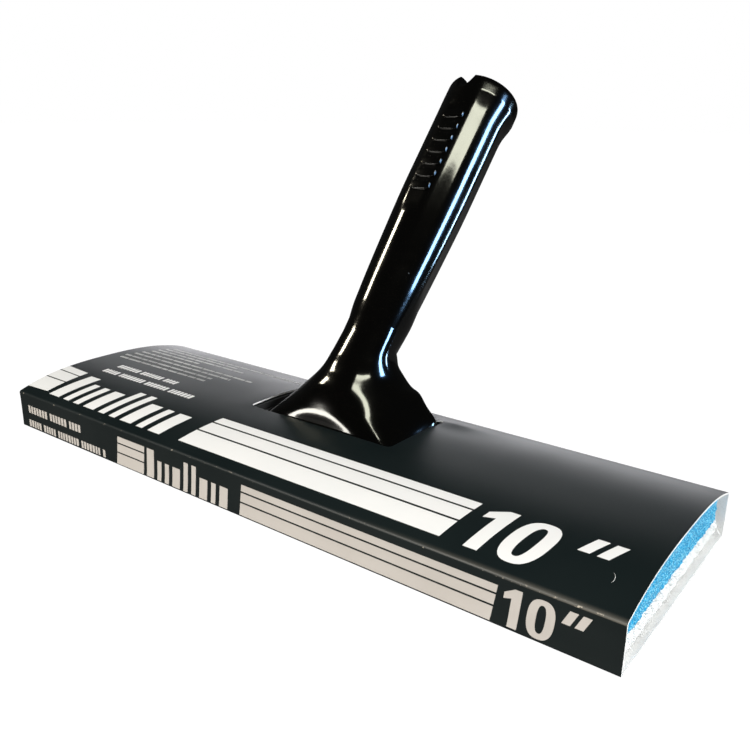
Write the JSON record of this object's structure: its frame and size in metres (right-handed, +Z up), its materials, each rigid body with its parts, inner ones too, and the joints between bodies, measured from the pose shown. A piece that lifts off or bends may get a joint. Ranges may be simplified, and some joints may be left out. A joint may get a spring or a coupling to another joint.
{
  "type": "floor finish applicator",
  "caption": "Pad applicator for floor varnish: threaded pole handle on a domed head with a slide-in foam pad, in its folded card sleeve with a slot for the handle.",
  "frame": {"origin": "centre of the sleeve's footprint, on its underside", "axes": "+X along the pad towards the refill's loading end, -Y the printed front, +Z up; the handle leans towards +Y"},
  "size_m": [0.26, 0.1563, 0.1421],
  "materials": {
    "printed_card": "satin printed board",
    "bare_card": "uncoated board",
    "adhesive": "dried glue",
    "backing_plastic": "matte",
    "blue_foam": "open-cell foam",
    "white_nap": "short fluffy nap",
    "head_plastic": "fine satin",
    "screw_steel": "zinc plated",
    "handle_plastic": "high gloss"
  },
  "bodies": {
    "tool": {"head_plate": "head_plastic", "foot_screws": "screw_steel", "handle": "handle_plastic"},
    "refill": {"pad_backing": "backing_plastic", "foam_block": "blue_foam", "nap_fabric": "white_nap"},
    "sleeve_top": {"sleeve_top_panel": "printed_card"},
    "sleeve_front": {"sleeve_front_panel": "printed_card"},
    "sleeve_bottom": {"sleeve_bottom_panel": "printed_card"},
    "sleeve_flap": {"sleeve_glue_flap": "bare_card", "glue_bead": "adhesive"},
    "sleeve_back": {"sleeve_back_panel": "printed_card"}
  },
  "joints": [
    {"name": "refill_slide", "type": "slide", "parent": "tool", "child": "refill", "axis": [1, 0, 0], "range_m": [0, 0.24]},
    {"name": "sleeve_shift", "type": "slide", "parent": "tool", "child": "sleeve_top", "axis": [1, 0, 0], "range_m": [-0.0009, 0.0018]},
    {"name": "front_top_crease", "type": "hinge", "parent": "sleeve_top", "child": "sleeve_front", "pos_m": [0, -0.0435, 0.0152], "axis": [-1, 0, 0], "range_deg": [0, 90]},
    {"name": "front_bottom_crease", "type": "hinge", "parent": "sleeve_front", "child": "sleeve_bottom", "pos_m": [0, -0.0435, 0], "axis": [-1, 0, 0], "range_deg": [0, 90]},
    {"name": "flap_crease", "type": "hinge", "parent": "sleeve_bottom", "child": "sleeve_flap", "pos_m": [0, 0.04265, 0], "axis": [-1, 0, 0], "range_deg": [0, 90]},
    {"name": "back_top_crease", "type": "hinge", "parent": "sleeve_top", "child": "sleeve_back", "pos_m": [0, 0.0435, 0.0152], "axis": [1, 0, 0], "range_deg": [0, 90]}
  ],
  "couplings": [
    {"joint": "flap_crease", "follows": "front_bottom_crease", "ratio": 1}
  ]
}
